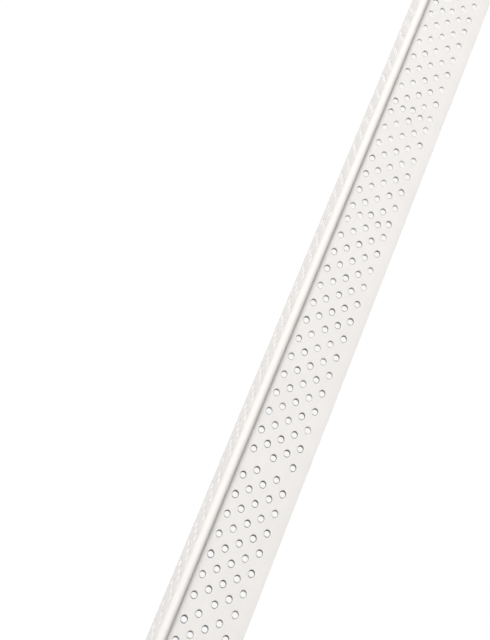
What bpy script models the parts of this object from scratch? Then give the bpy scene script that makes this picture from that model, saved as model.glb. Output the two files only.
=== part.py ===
"""Drywall corner bead: one extruded PVC angle with a round nose and two perforated flanges.

It lies the way it rests on a floor, with its length along X and its nose up, on the free edges of
both flanges. The cross-section is drawn in flange coordinates: "along" runs down one flange from
the outer corner to the free edge, and "into" runs through the wall, away from the outer face. The
other flange has the same outline with the two swapped. All sizes are in metres.
"""

import math

import bmesh
import bpy
from mathutils import Matrix, Vector

INCH = 0.0254

# Section
LENGTH = 48 * INCH
FLANGE_WIDTH = 1.25 * INCH
WALL = 0.0010
NOSE_WIDTH = 0.0045
NOSE_HEIGHT = 0.0016
INNER_FILLET = 0.0008
FEATHER_WIDTH = 0.0030
EDGE_WALL = 0.0009

# Each hole is an oval, longer along the bead, and narrows from its rim on the outer face
RIM_WIDTH = 0.0030
THROAT_WIDTH = 0.0024
HOLE_STRETCH = 1.14

# Perforation: a press punches a block of staggered rows at each stroke
COLUMN_PITCH = 3 / 16 * INCH
ROW_PITCH = 3 / 16 * INCH
FIRST_COLUMN = 0.0059
WIDE_ROW_COLUMNS = (0, 2, 4)
NARROW_ROW_COLUMNS = (1, 3)
ROWS_PER_STROKE = 14
FIRST_STROKE_OVERHANG = 0.0185
END_LAND = 0.0015

# How far the strip slips at each stroke, which makes the gap after a block wider or narrower
FEED_SLIPS = (-0.0018, -0.0027, -0.0019, 0.0006, 0.0036, 0.0016)

# The solid takes one hole in this many, each in its real place, and as a hexagon of the oval's area
HOLES_PER_MODELLED_HOLE = 4
HOLE_SIDES = 6
CUTTER_OVERRUN = 0.001

# Facets of the round stretches
NOSE_STEPS = 16
FEATHER_STEPS = 3
INNER_STEPS = 3

WELD_DISTANCE = 1e-6

HALF_SQRT = math.sqrt(0.5)
CORNER_HEIGHT = (FLANGE_WIDTH + WALL) * HALF_SQRT

PVC_COLOUR = (0.87, 0.846, 0.82, 1.0)
PVC_ROUGHNESS = 0.6


def clear_scene():
    for obj in list(bpy.data.objects):
        bpy.data.objects.remove(obj)


def new_collection(name):
    collection = bpy.data.collections.new(name)
    bpy.context.scene.collection.children.link(collection)
    return collection


def pvc_material():
    material = bpy.data.materials.new("white_pvc")
    material.use_nodes = True
    shader = material.node_tree.nodes["Principled BSDF"]
    shader.inputs["Base Color"].default_value = PVC_COLOUR
    shader.inputs["Roughness"].default_value = PVC_ROUGHNESS
    shader.inputs["Metallic"].default_value = 0.0
    return material


def nose():
    """(along, into) on the flattened round nose, from its top to its crease with the flange.

    The nose is an ellipse centred where the outer faces of the two flanges would meet.
    """
    crease_angle = math.pi - math.atan2(NOSE_HEIGHT, NOSE_WIDTH / 2)
    points = []
    for step in range(NOSE_STEPS + 1):
        angle = crease_angle * step / NOSE_STEPS
        across = NOSE_WIDTH / 2 * math.sin(angle)
        up = NOSE_HEIGHT * math.cos(angle)
        points.append(((across - up) * HALF_SQRT, -(across + up) * HALF_SQRT))
    return points


def feathered_edge():
    """(along, into) of the outer face where it curves down to the thin free edge."""
    points = []
    for step in range(FEATHER_STEPS + 1):
        share = step / FEATHER_STEPS
        points.append((FLANGE_WIDTH - FEATHER_WIDTH * (1 - share), (WALL - EDGE_WALL) * share**2))
    return points


def inner_fillet():
    """(along, into) from the end of the flat inner face to the middle of the inner corner."""
    centre = WALL + INNER_FILLET
    points = []
    for step in range(INNER_STEPS + 1):
        angle = math.radians(-90 - 45 * step / INNER_STEPS)
        points.append((centre + INNER_FILLET * math.cos(angle), centre + INNER_FILLET * math.sin(angle)))
    return points


def half_section():
    """One flange's outline as (along, into), from the top of the nose to the middle of the inner fillet."""
    return nose() + feathered_edge() + [(FLANGE_WIDTH, WALL)] + inner_fillet()


def world_yz(along, into):
    """Where a point of the front flange lies, seen from the end of the bead."""
    return (into - along) * HALF_SQRT, CORNER_HEIGHT - (into + along) * HALF_SQRT


def section_outline():
    """The whole closed outline as (y, z). The back flange mirrors the front one in y."""
    front = [world_yz(along, into) for along, into in half_section()]
    back = [(-y, z) for y, z in reversed(front[1:-1])]
    return front + back


def extruded_bead(material, collection):
    curve = bpy.data.curves.new("section", "CURVE")
    curve.dimensions = "2D"
    curve.fill_mode = "BOTH"
    curve.extrude = LENGTH / 2
    outline = section_outline()
    spline = curve.splines.new("POLY")
    spline.points.add(len(outline) - 1)
    for point, (y, z) in zip(spline.points, outline):
        point.co = (y, z, 0, 1)
    spline.use_cyclic_u = True
    extrusion = bpy.data.objects.new("section", curve)
    # The curve's own X, Y and Z become the bead's Y, Z and X
    extrusion.rotation_euler = (math.pi / 2, 0, math.pi / 2)
    collection.objects.link(extrusion)
    bpy.context.view_layer.update()

    graph = bpy.context.evaluated_depsgraph_get()
    mesh = bpy.data.meshes.new_from_object(extrusion.evaluated_get(graph))
    mesh.transform(extrusion.matrix_world)
    bpy.data.objects.remove(extrusion)
    weld = bmesh.new()
    weld.from_mesh(mesh)
    bmesh.ops.remove_doubles(weld, verts=weld.verts, dist=WELD_DISTANCE)
    bmesh.ops.recalc_face_normals(weld, faces=weld.faces)
    weld.to_mesh(mesh)
    weld.free()

    bead = bpy.data.objects.new("corner_bead", mesh)
    bead.data.materials.clear()
    bead.data.materials.append(material)
    collection.objects.link(bead)
    return bead


def row_positions():
    """(x, columns) of each punched row, from the +X end to the other, kept clear of the cut ends."""
    reach = LENGTH / 2 - RIM_WIDTH * HOLE_STRETCH / 2 - END_LAND
    stroke_start = LENGTH / 2 + FIRST_STROKE_OVERHANG
    stroke = 0
    rows = []
    while stroke_start > -reach:
        for row in range(ROWS_PER_STROKE):
            x = stroke_start - row * ROW_PITCH
            if abs(x) <= reach:
                rows.append((x, WIDE_ROW_COLUMNS if row % 2 else NARROW_ROW_COLUMNS))
        stroke_start -= ROWS_PER_STROKE * ROW_PITCH + FEED_SLIPS[stroke % len(FEED_SLIPS)]
        stroke += 1
    return rows


def hole_centres():
    """(x, along) of every hole of one flange."""
    return [
        (x, FIRST_COLUMN + column * COLUMN_PITCH) for x, columns in row_positions() for column in columns
    ]


def cutter_matrix(x, along, side):
    """Places a cone through one flange, its wide end out, and stretches it along the bead.

    side is -1 for the front flange and 1 for the back one.
    """
    y, z = world_yz(along, WALL / 2)
    outward = Vector((0, side * HALF_SQRT, HALF_SQRT))
    turn = outward.to_track_quat("Z", "X").to_matrix().to_4x4()
    return Matrix.Translation((x, -side * y, z)) @ turn @ Matrix.Diagonal((1, HOLE_STRETCH, 1, 1))


def hole_cutters(collection):
    """All cones as one mesh. Each tapers through the wall and a little past both of its faces."""
    equal_area = math.sqrt(2 * math.pi / (HOLE_SIDES * math.sin(2 * math.pi / HOLE_SIDES)))
    flare = (RIM_WIDTH - THROAT_WIDTH) / 2 * CUTTER_OVERRUN / WALL
    cutters = bmesh.new()
    for x, along in hole_centres()[::HOLES_PER_MODELLED_HOLE]:
        for side in (-1, 1):
            bmesh.ops.create_cone(
                cutters,
                cap_ends=True,
                segments=HOLE_SIDES,
                radius1=(THROAT_WIDTH / 2 - flare) * equal_area,
                radius2=(RIM_WIDTH / 2 + flare) * equal_area,
                depth=WALL + 2 * CUTTER_OVERRUN,
                matrix=cutter_matrix(x, along, side),
            )
    mesh = bpy.data.meshes.new("hole_cutters")
    cutters.to_mesh(mesh)
    cutters.free()
    obj = bpy.data.objects.new("hole_cutters", mesh)
    obj.hide_render = True
    obj.display_type = "WIRE"
    collection.objects.link(obj)
    return obj


def main():
    clear_scene()
    parts = new_collection("drywall_corner_bead")
    cutters = new_collection("cutters")
    bead = extruded_bead(pvc_material(), parts)
    punch = bead.modifiers.new("punched_holes", "BOOLEAN")
    punch.operation = "DIFFERENCE"
    punch.solver = "EXACT"
    punch.object = hole_cutters(cutters)


main()
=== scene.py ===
"""The look of the drywall corner bead: white extruded PVC, a round nose and every punched hole.

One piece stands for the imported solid, which has one hole in four. It uses the same cross-section:
"along" runs down a flange from the outer corner to the free edge, and "into" runs through the wall,
away from the outer face. All sizes are in metres.
"""

import math
import random

import bmesh
import bpy
from mathutils import Matrix, Vector
from mathutils.geometry import delaunay_2d_cdt


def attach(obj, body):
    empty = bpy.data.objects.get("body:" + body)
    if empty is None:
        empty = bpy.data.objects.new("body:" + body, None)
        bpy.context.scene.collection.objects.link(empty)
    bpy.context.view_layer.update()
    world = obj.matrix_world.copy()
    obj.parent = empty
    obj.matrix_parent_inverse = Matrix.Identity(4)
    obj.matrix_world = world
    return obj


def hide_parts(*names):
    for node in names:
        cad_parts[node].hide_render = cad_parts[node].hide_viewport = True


INCH = 0.0254

# Section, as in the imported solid
LENGTH = 48 * INCH
FLANGE_WIDTH = 1.25 * INCH
WALL = 0.0010
NOSE_WIDTH = 0.0045
NOSE_HEIGHT = 0.0016
INNER_FILLET = 0.0008
FEATHER_WIDTH = 0.0030
EDGE_WALL = 0.0009

# Each hole is oval at its rim, round at its throat, and flares out to the inner face
RIM_RADIUS = 0.00148
THROAT_RADIUS = 0.00129
RIM_STRETCH = 1.27
THROAT_STRETCH = 1.0
THROAT_DEPTH = 0.0006
FLARE_RADIUS = 0.0017

# Perforation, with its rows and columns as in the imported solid
COLUMN_PITCH = 3 / 16 * INCH
ROW_PITCH = 3 / 16 * INCH
FIRST_COLUMN = 0.0059
WIDE_ROW_COLUMNS = (0, 2, 4)
NARROW_ROW_COLUMNS = (1, 3)
ROWS_PER_STROKE = 14
FIRST_STROKE_OVERHANG = 0.0185
END_LAND = 0.0015
FEED_SLIPS = (-0.0018, -0.0027, -0.0019, 0.0006, 0.0036, 0.0016)

# The edge that the punch rolls in on the outer face, and how much the holes vary
ROLLED_EDGE = 0.00012
POSITION_SPREAD = 0.00004
RADIUS_SPREAD = 0.03

# Painted shade on the front flange's hole walls, more of it towards the -X end, as the photograph's
# holes darken. The back flange's holes get none.
HOLE_SHADE_FROM = -0.13
HOLE_SHADE_TO = 0.15
MOST_HOLE_SHADE = 0.95
LEAST_HOLE_SHADE = 0.1
HOLE_SHADE_SPREAD = 0.35

# Facets of the round stretches
HOLE_SIDES = 18
FEATHER_STEPS = 6
NOSE_STEPS = 24
INNER_STEPS = 6

# Long faces are split this far from the cut ends, which would otherwise bend their shading all along
END_EASE = 0.0005

WELD_DISTANCE = 1e-6
TRIANGULATION_TOLERANCE = 1e-9
DRAW_SEED = 31

# What the faces carry for the material: where the painted shade goes
HOLE_SHADE_MASK = "hole_shade"
NOSE_SHADE_MASK = "nose"

HALF_SQRT = math.sqrt(0.5)
CORNER_HEIGHT = (FLANGE_WIDTH + WALL) * HALF_SQRT

# Finish
PVC_COLOUR = (0.87, 0.846, 0.82, 1.0)
# Painted shade for the hole walls
HOLE_SHADE_COLOUR = (0.24, 0.23, 0.22, 1.0)
# Painted shade on the nose: a darker, barely warmer white that holds down its brighter light
NOSE_SHADE_COLOUR = (0.81, 0.785, 0.76, 1.0)
SMOOTH_ROUGHNESS = 0.56
DULL_ROUGHNESS = 0.64
MOTTLE_SCALE = (60.0, 60.0, 60.0)
MOTTLE_SHADE = 0.02
DIE_LINE_SCALE = (4.0, 1500.0, 1500.0)
DIE_LINE_SHADE = 0.02
DIE_LINE_HEIGHT = 0.000004
NOISE_LOW = 0.3
NOISE_HIGH = 0.7

# Light: a white room, brighter on the +X side, and one long softbox over the bead
NEAR_ROOM_LEVEL = 0.42
FAR_ROOM_LEVEL = 0.68
FLOOR_COLOUR = (0.35, 0.35, 0.35, 1.0)
FLOOR_HALF_WIDTH = 6.0
FLOOR_GLOW = 0.93
SHADOW_COLOUR = (0.08, 0.08, 0.08, 1.0)
KEY_PLACE = Vector((0.3, -0.06, 1.2))
KEY_AIM = Vector((0.3, 0.0, 0.0))
KEY_LENGTH = 2.0
KEY_WIDTH = 0.8
KEY_POWER = 17.1

# Camera
CAMERA_PLACE = Vector((-0.3865, -0.3772, 0.57506))
CAMERA_VIEW = Vector((0.46066, 0.52178, -0.71801))
CAMERA_UP = Vector((0.81578, 0.06982, 0.57413))
CAMERA_LENS = 96.0
CAMERA_SENSOR = 36.0
CAMERA_CLIP_START = 0.01


def nose():
    """(along, into) on the flattened round nose, from its top to its crease with the flange."""
    crease_angle = math.pi - math.atan2(NOSE_HEIGHT, NOSE_WIDTH / 2)
    points = []
    for step in range(NOSE_STEPS + 1):
        angle = crease_angle * step / NOSE_STEPS
        across = NOSE_WIDTH / 2 * math.sin(angle)
        up = NOSE_HEIGHT * math.cos(angle)
        points.append(((across - up) * HALF_SQRT, -(across + up) * HALF_SQRT))
    return points


def feathered_edge():
    """(along, into) of the outer face where it curves down to the thin free edge."""
    points = []
    for step in range(FEATHER_STEPS + 1):
        share = step / FEATHER_STEPS
        points.append((FLANGE_WIDTH - FEATHER_WIDTH * (1 - share), (WALL - EDGE_WALL) * share**2))
    return points


def inner_fillet():
    """(along, into) from the end of the flat inner face to the middle of the inner corner."""
    centre = WALL + INNER_FILLET
    points = []
    for step in range(INNER_STEPS + 1):
        angle = math.radians(-90 - 45 * step / INNER_STEPS)
        points.append((centre + INNER_FILLET * math.cos(angle), centre + INNER_FILLET * math.sin(angle)))
    return points


def world_point(side, x, along, into):
    """side is -1 on the front flange and 1 on the back one, which mirrors it."""
    y = side * (along - into) * HALF_SQRT
    return Vector((x, y, CORNER_HEIGHT - (into + along) * HALF_SQRT))


def length_stops():
    """Where the long faces begin, are split and end, along the bead."""
    half = LENGTH / 2
    return [-half, -half + END_EASE, half - END_EASE, half]


def row_positions():
    """(x, columns) of each punched row, from the +X end to the other, kept clear of the cut ends."""
    reach = LENGTH / 2 - THROAT_RADIUS - END_LAND
    stroke_start = LENGTH / 2 + FIRST_STROKE_OVERHANG
    stroke = 0
    rows = []
    while stroke_start > -reach:
        for row in range(ROWS_PER_STROKE):
            x = stroke_start - row * ROW_PITCH
            if abs(x) <= reach:
                rows.append((x, WIDE_ROW_COLUMNS if row % 2 else NARROW_ROW_COLUMNS))
        stroke_start -= ROWS_PER_STROKE * ROW_PITCH + FEED_SLIPS[stroke % len(FEED_SLIPS)]
        stroke += 1
    return rows


def mean_hole_shade(x):
    """How much painted shade the hole walls get on average, this far along the bead."""
    share = min(max((x - HOLE_SHADE_FROM) / (HOLE_SHADE_TO - HOLE_SHADE_FROM), 0.0), 1.0)
    return MOST_HOLE_SHADE + (LEAST_HOLE_SHADE - MOST_HOLE_SHADE) * share


def punched_holes(side, draw):
    """(x, along, scale, share of painted shade on its walls) of every hole of one flange. No two are
    quite alike.
    """
    holes = []
    for x, columns in row_positions():
        for column in columns:
            along = FIRST_COLUMN + column * COLUMN_PITCH
            hole_shade = mean_hole_shade(x) + draw.uniform(-HOLE_SHADE_SPREAD, HOLE_SHADE_SPREAD)
            holes.append(
                (
                    x + draw.uniform(-POSITION_SPREAD, POSITION_SPREAD),
                    along + draw.uniform(-POSITION_SPREAD, POSITION_SPREAD),
                    1 + draw.uniform(-RADIUS_SPREAD, RADIUS_SPREAD),
                    min(max(hole_shade, 0.0), 1.0) if side < 0 else 0.0,
                )
            )
    return holes


def oval(x, along, radius, stretch):
    """Points round a hole. It is as many times longer than wide as stretch says."""
    points = []
    for side in range(HOLE_SIDES):
        angle = 2 * math.pi * side / HOLE_SIDES
        points.append((x + radius * stretch * math.cos(angle), along + radius * math.sin(angle)))
    return points


def hole_profile():
    """(radius, stretch, into) from the rim on the outer face, over its rolled edge, to the inner face."""
    return [
        (RIM_RADIUS + ROLLED_EDGE, RIM_STRETCH, 0.0),
        (RIM_RADIUS, RIM_STRETCH, ROLLED_EDGE),
        (THROAT_RADIUS, THROAT_STRETCH, THROAT_DEPTH),
        (FLARE_RADIUS, THROAT_STRETCH, WALL),
    ]


def add_face(mesh, points, smooth):
    face = mesh.faces.new([mesh.verts.new(point) for point in points])
    face.smooth = smooth
    return face


def add_perforated_face(mesh, side, holes, rim, limits):
    """A flat face of a flange, with each hole left out as far as its rim there."""
    radius, stretch, into = rim
    low, high = limits
    stops = length_stops()
    points = [(x, low) for x in stops] + [(x, high) for x in reversed(stops)]
    owners = [None] * len(points)
    loops = [list(range(len(points)))]
    for number, (x, along, scale, _) in enumerate(holes):
        first = len(points)
        points.extend(oval(x, along, radius * scale, stretch))
        owners.extend([number] * HOLE_SIDES)
        loops.append(list(range(first, first + HOLE_SIDES)))
    edges = [(loop[i - 1], loop[i]) for loop in loops for i in range(len(loop))]
    corners_2d = [Vector(point) for point in points]
    cut = delaunay_2d_cdt(corners_2d, edges, [], 0, TRIANGULATION_TOLERANCE)
    flat, _, triangles, sources, _, _ = cut
    owner = [owners[source[0]] for source in sources]
    corners = [mesh.verts.new(world_point(side, p.x, p.y, into)) for p in flat]
    for triangle in triangles:
        ring = {owner[corner] for corner in triangle}
        if len(ring) == 1 and None not in ring:
            continue
        mesh.faces.new([corners[corner] for corner in triangle])


def add_hole_walls(mesh, side, holes):
    """The rolled edge of each hole, which gets no painted shade, and its walls, which get painted shade.
    """
    hole_shade_share = mesh.faces.layers.float[HOLE_SHADE_MASK]
    for x, along, scale, hole_shade in holes:
        rings = []
        for radius, stretch, into in hole_profile():
            ring = [world_point(side, *point, into) for point in oval(x, along, radius * scale, stretch)]
            rings.append([mesh.verts.new(point) for point in ring])
        for step, (upper, lower) in enumerate(zip(rings, rings[1:])):
            for i in range(HOLE_SIDES):
                face = mesh.faces.new([upper[i - 1], upper[i], lower[i], lower[i - 1]])
                face.smooth = True
                # The walls below the rolled edge get painted shade
                face[hole_shade_share] = hole_shade if step else 0.0


def add_strip(mesh, side, profile, smooth):
    """Faces along the whole bead for each step of a profile."""
    stops = length_stops()
    faces = []
    for first, second in zip(profile, profile[1:]):
        for start, end in zip(stops, stops[1:]):
            corners = [
                world_point(side, start, *first),
                world_point(side, end, *first),
                world_point(side, end, *second),
                world_point(side, start, *second),
            ]
            faces.append(add_face(mesh, corners, smooth))
    return faces


def add_end(mesh, x):
    """The cut end: the whole section as one face."""
    half = nose() + feathered_edge() + [(FLANGE_WIDTH, WALL)] + inner_fillet()
    front = [world_point(-1, x, *point) for point in half]
    back = [world_point(1, x, *point) for point in half[1:-1]]
    add_face(mesh, front + back[::-1], False)


def add_flange(mesh, side, draw):
    holes = punched_holes(side, draw)
    outer = nose()
    feather = feathered_edge()
    inner = inner_fillet()
    add_perforated_face(mesh, side, holes, hole_profile()[0], (outer[-1][0], feather[0][0]))
    add_perforated_face(mesh, side, holes, hole_profile()[-1], (inner[0][0], FLANGE_WIDTH))
    add_hole_walls(mesh, side, holes)
    for face in add_strip(mesh, side, outer, True):
        # The nose faces get the painted shade
        face[mesh.faces.layers.float[NOSE_SHADE_MASK]] = 1.0
    add_strip(mesh, side, feather, False)
    add_strip(mesh, side, [feather[-1], (FLANGE_WIDTH, WALL)], False)
    add_strip(mesh, side, inner, True)


def make_bead(material):
    draw = random.Random(DRAW_SEED)
    mesh = bmesh.new()
    mesh.faces.layers.float.new(HOLE_SHADE_MASK)
    mesh.faces.layers.float.new(NOSE_SHADE_MASK)
    for side in (-1, 1):
        add_flange(mesh, side, draw)
    for x in (-LENGTH / 2, LENGTH / 2):
        add_end(mesh, x)
    bmesh.ops.remove_doubles(mesh, verts=mesh.verts, dist=WELD_DISTANCE)
    bmesh.ops.recalc_face_normals(mesh, faces=mesh.faces)
    data = bpy.data.meshes.new("perforated_bead")
    mesh.to_mesh(data)
    mesh.free()
    bead = bpy.data.objects.new("perforated_bead", data)
    bead.data.materials.append(material)
    bpy.context.scene.collection.objects.link(bead)
    return bead


def stretched_noise(tree, scale):
    """Noise in metres, with its own scale along, across and up."""
    place = tree.nodes.new("ShaderNodeTexCoord")
    stretch = tree.nodes.new("ShaderNodeMapping")
    stretch.inputs["Scale"].default_value = scale
    noise = tree.nodes.new("ShaderNodeTexNoise")
    noise.inputs["Scale"].default_value = 1.0
    tree.links.new(place.outputs["Object"], stretch.inputs["Vector"])
    tree.links.new(stretch.outputs["Vector"], noise.inputs["Vector"])
    return noise.outputs["Fac"]


def ranged(tree, value, low, high):
    """Maps noise, which keeps within about NOISE_LOW to NOISE_HIGH, to a range of its own."""
    fit = tree.nodes.new("ShaderNodeMapRange")
    fit.inputs["From Min"].default_value = NOISE_LOW
    fit.inputs["From Max"].default_value = NOISE_HIGH
    fit.inputs["To Min"].default_value = low
    fit.inputs["To Max"].default_value = high
    tree.links.new(value, fit.inputs["Value"])
    return fit.outputs["Result"]


def tinted(tree, colour, attribute, other):
    """Mixes another colour in by a share that the mesh's faces carry."""
    share = tree.nodes.new("ShaderNodeAttribute")
    share.attribute_name = attribute
    mix = tree.nodes.new("ShaderNodeMix")
    mix.data_type = "RGBA"
    tree.links.new(share.outputs["Fac"], mix.inputs["Factor"])
    tree.links.new(colour, mix.inputs["A"])
    mix.inputs["B"].default_value = other
    return mix.outputs["Result"]


def shaded(tree, colour, shade):
    """Darkens or lightens a colour by a factor near one."""
    scale = tree.nodes.new("ShaderNodeVectorMath")
    scale.operation = "SCALE"
    tree.links.new(colour, scale.inputs["Vector"])
    tree.links.new(shade, scale.inputs["Scale"])
    return scale.outputs["Vector"]


def pvc_material():
    """Warm white with faint mottling and the die's lines, with painted shade darkening the nose (a touch
    warmer there) and the front flange's hole walls.
    """
    material = bpy.data.materials.new("white_pvc")
    material.use_nodes = True
    tree = material.node_tree
    shader = tree.nodes["Principled BSDF"]
    mottle = stretched_noise(tree, MOTTLE_SCALE)
    die_lines = stretched_noise(tree, DIE_LINE_SCALE)

    base = tree.nodes.new("ShaderNodeRGB")
    base.outputs["Color"].default_value = PVC_COLOUR
    # Painted shade darkens the nose
    colour = tinted(tree, base.outputs["Color"], NOSE_SHADE_MASK, NOSE_SHADE_COLOUR)
    colour = shaded(tree, colour, ranged(tree, mottle, 1 - MOTTLE_SHADE / 2, 1 + MOTTLE_SHADE / 2))
    colour = shaded(tree, colour, ranged(tree, die_lines, 1 - DIE_LINE_SHADE / 2, 1 + DIE_LINE_SHADE / 2))
    # Painted shade darkens the hole walls
    colour = tinted(tree, colour, HOLE_SHADE_MASK, HOLE_SHADE_COLOUR)
    tree.links.new(colour, shader.inputs["Base Color"])
    roughness = ranged(tree, mottle, SMOOTH_ROUGHNESS, DULL_ROUGHNESS)
    tree.links.new(roughness, shader.inputs["Roughness"])

    ridges = tree.nodes.new("ShaderNodeBump")
    ridges.inputs["Distance"].default_value = DIE_LINE_HEIGHT
    tree.links.new(die_lines, ridges.inputs["Height"])
    tree.links.new(ridges.outputs["Normal"], shader.inputs["Normal"])
    return material


def floor_material():
    """White to the camera and in reflections, with a faint shadow, and a plain pale floor to light."""
    material = bpy.data.materials.new("white_floor")
    material.use_nodes = True
    nodes = material.node_tree.nodes
    links = material.node_tree.links
    nodes.clear()
    path = nodes.new("ShaderNodeLightPath")
    seen = nodes.new("ShaderNodeMath")
    seen.operation = "MAXIMUM"
    links.new(path.outputs["Is Camera Ray"], seen.inputs[0])
    links.new(path.outputs["Is Glossy Ray"], seen.inputs[1])
    seen_or_through = nodes.new("ShaderNodeMath")
    seen_or_through.operation = "MAXIMUM"
    links.new(seen.outputs[0], seen_or_through.inputs[0])
    links.new(path.outputs["Is Transmission Ray"], seen_or_through.inputs[1])
    glow = nodes.new("ShaderNodeEmission")
    glow.inputs["Strength"].default_value = FLOOR_GLOW
    faint = nodes.new("ShaderNodeBsdfDiffuse")
    faint.inputs["Color"].default_value = SHADOW_COLOUR
    white = nodes.new("ShaderNodeAddShader")
    links.new(glow.outputs[0], white.inputs[0])
    links.new(faint.outputs[0], white.inputs[1])
    plain = nodes.new("ShaderNodeBsdfDiffuse")
    plain.inputs["Color"].default_value = FLOOR_COLOUR
    mix = nodes.new("ShaderNodeMixShader")
    links.new(seen_or_through.outputs[0], mix.inputs["Fac"])
    links.new(plain.outputs[0], mix.inputs[1])
    links.new(white.outputs[0], mix.inputs[2])
    output = nodes.new("ShaderNodeOutputMaterial")
    links.new(mix.outputs[0], output.inputs["Surface"])
    return material


def make_floor():
    half = FLOOR_HALF_WIDTH
    mesh = bmesh.new()
    corners = [(-half, -half), (half, -half), (half, half), (-half, half)]
    mesh.faces.new([mesh.verts.new((x, y, 0)) for x, y in corners])
    data = bpy.data.meshes.new("floor")
    mesh.to_mesh(data)
    mesh.free()
    floor = bpy.data.objects.new("floor", data)
    floor.data.materials.append(floor_material())
    bpy.context.scene.collection.objects.link(floor)


def light_world():
    """White where the camera sees it, and otherwise a soft light that is brighter on the +X side."""
    world = bpy.data.worlds.new("white_room")
    bpy.context.scene.world = world
    world.use_nodes = True
    nodes = world.node_tree.nodes
    links = world.node_tree.links
    nodes.clear()
    path = nodes.new("ShaderNodeLightPath")
    room = nodes.new("ShaderNodeBackground")
    place = nodes.new("ShaderNodeTexCoord")
    split = nodes.new("ShaderNodeSeparateXYZ")
    level = nodes.new("ShaderNodeMapRange")
    level.inputs["From Min"].default_value = -1.0
    level.inputs["From Max"].default_value = 1.0
    level.inputs["To Min"].default_value = NEAR_ROOM_LEVEL
    level.inputs["To Max"].default_value = FAR_ROOM_LEVEL
    links.new(place.outputs["Generated"], split.inputs[0])
    links.new(split.outputs["X"], level.inputs["Value"])
    links.new(level.outputs["Result"], room.inputs["Strength"])
    seen = nodes.new("ShaderNodeBackground")
    seen.inputs["Strength"].default_value = 1.0
    mix = nodes.new("ShaderNodeMixShader")
    output = nodes.new("ShaderNodeOutputWorld")
    links.new(path.outputs["Is Camera Ray"], mix.inputs["Fac"])
    links.new(room.outputs[0], mix.inputs[1])
    links.new(seen.outputs[0], mix.inputs[2])
    links.new(mix.outputs[0], output.inputs["Surface"])


def add_softbox():
    """A long softbox over the bead, with its length along the bead's own."""
    data = bpy.data.lights.new("softbox", "AREA")
    data.shape = "RECTANGLE"
    data.size = KEY_LENGTH
    data.size_y = KEY_WIDTH
    data.energy = KEY_POWER
    backward = (KEY_PLACE - KEY_AIM).normalized()
    across = backward.cross(Vector((1, 0, 0))).normalized()
    turn = Matrix((across.cross(backward), across, backward)).transposed()
    lamp = bpy.data.objects.new("softbox", data)
    lamp.matrix_world = Matrix.Translation(KEY_PLACE) @ turn.to_4x4()
    bpy.context.scene.collection.objects.link(lamp)


def add_camera():
    data = bpy.data.cameras.new("camera")
    data.sensor_fit = "VERTICAL"
    data.sensor_height = CAMERA_SENSOR
    data.lens = CAMERA_LENS
    data.clip_start = CAMERA_CLIP_START
    camera = bpy.data.objects.new("camera", data)
    right = CAMERA_VIEW.cross(CAMERA_UP).normalized()
    up = right.cross(CAMERA_VIEW).normalized()
    turn = Matrix((right, up, -CAMERA_VIEW.normalized())).transposed()
    camera.matrix_world = Matrix.Translation(CAMERA_PLACE) @ turn.to_4x4()
    bpy.context.scene.collection.objects.link(camera)
    bpy.context.scene.camera = camera


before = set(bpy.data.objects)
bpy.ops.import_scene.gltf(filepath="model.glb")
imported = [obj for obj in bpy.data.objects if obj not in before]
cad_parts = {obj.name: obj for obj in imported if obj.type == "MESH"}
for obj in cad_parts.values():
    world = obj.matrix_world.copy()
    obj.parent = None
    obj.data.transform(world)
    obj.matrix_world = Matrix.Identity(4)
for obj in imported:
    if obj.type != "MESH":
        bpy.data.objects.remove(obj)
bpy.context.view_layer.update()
bpy.context.scene.view_settings.view_transform = "Standard"
light_world()
make_floor()
add_softbox()
add_camera()

bead = make_bead(pvc_material())
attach(bead, "root")
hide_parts("corner_bead")
